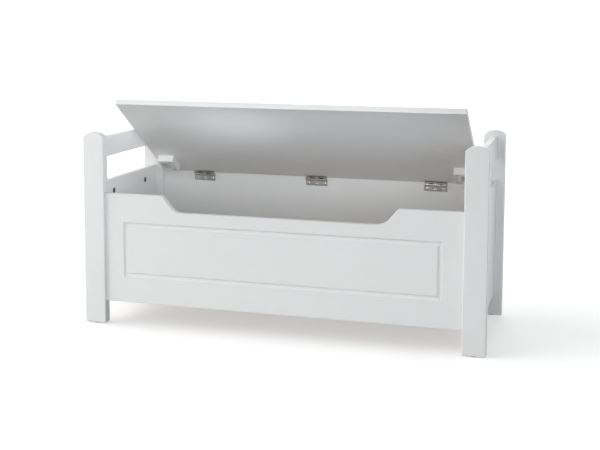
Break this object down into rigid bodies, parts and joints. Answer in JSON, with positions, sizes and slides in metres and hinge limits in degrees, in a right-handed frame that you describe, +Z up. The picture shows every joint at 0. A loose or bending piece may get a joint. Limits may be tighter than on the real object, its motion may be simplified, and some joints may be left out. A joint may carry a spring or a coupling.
{
  "type": "storage bench",
  "caption": "Low white bench with arched corner posts, side rails as arms and a storage box whose flat seat is a lid on butt hinges along the rear panel.",
  "frame": {"origin": "on the floor, in the middle of the four posts", "axes": "+Z up, front towards -Y, +X to the right as seen from the front"},
  "size_m": [1, 0.386, 0.5603],
  "materials": {
    "white_lacquer": "satin white lacquer on board and solid wood",
    "floor_board": "bare fibreboard, matt",
    "pine": "planed softwood, bare",
    "hinge_nickel": "nickel plated steel",
    "zinc_steel": "zinc plated steel",
    "cam_zinc": "die-cast zinc, dull",
    "beech": "bare hardwood dowel",
    "glide_plastic": "moulded plastic"
  },
  "bodies": {
    "frame": {"post_front_left": "white_lacquer", "post_front_right": "white_lacquer", "post_rear_left": "white_lacquer", "post_rear_right": "white_lacquer", "arm_rail_left": "white_lacquer", "arm_rail_right": "white_lacquer", "side_panel_left": "white_lacquer", "side_panel_right": "white_lacquer", "front_panel": "white_lacquer", "rear_panel": "white_lacquer", "floor_panel": "floor_board", "floor_cleat_front": "pine", "floor_cleat_rear": "pine", "floor_cleat_left": "pine", "floor_cleat_right": "pine", "hinge_leaf_frame_left": "hinge_nickel", "hinge_leaf_frame_centre": "hinge_nickel", "hinge_leaf_frame_right": "hinge_nickel", "hinge_pin_left": "hinge_nickel", "hinge_pin_centre": "hinge_nickel", "hinge_pin_right": "hinge_nickel", "hinge_screws_frame": "hinge_nickel", "rear_panel_screws": "zinc_steel", "cleat_screws": "zinc_steel", "side_cam_bolts": "zinc_steel", "front_cam_bolts": "zinc_steel", "side_cam_locks": "cam_zinc", "front_cam_locks": "cam_zinc", "rail_dowels": "beech", "panel_dowels": "beech", "foot_glides": "glide_plastic"},
    "seat_lid": {"lid": "white_lacquer", "lid_block_left": "white_lacquer", "lid_block_right": "white_lacquer", "lid_block_screws": "zinc_steel", "hinge_leaf_lid_left": "hinge_nickel", "hinge_leaf_lid_centre": "hinge_nickel", "hinge_leaf_lid_right": "hinge_nickel", "hinge_screws_lid": "hinge_nickel"}
  },
  "joints": [
    {"name": "lid_hinge", "type": "hinge", "parent": "frame", "child": "seat_lid", "pos_m": [0, 0.1776, 0.3329], "axis": [-1, 0, 0], "range_deg": [-34.9, 51.9]}
  ]
}
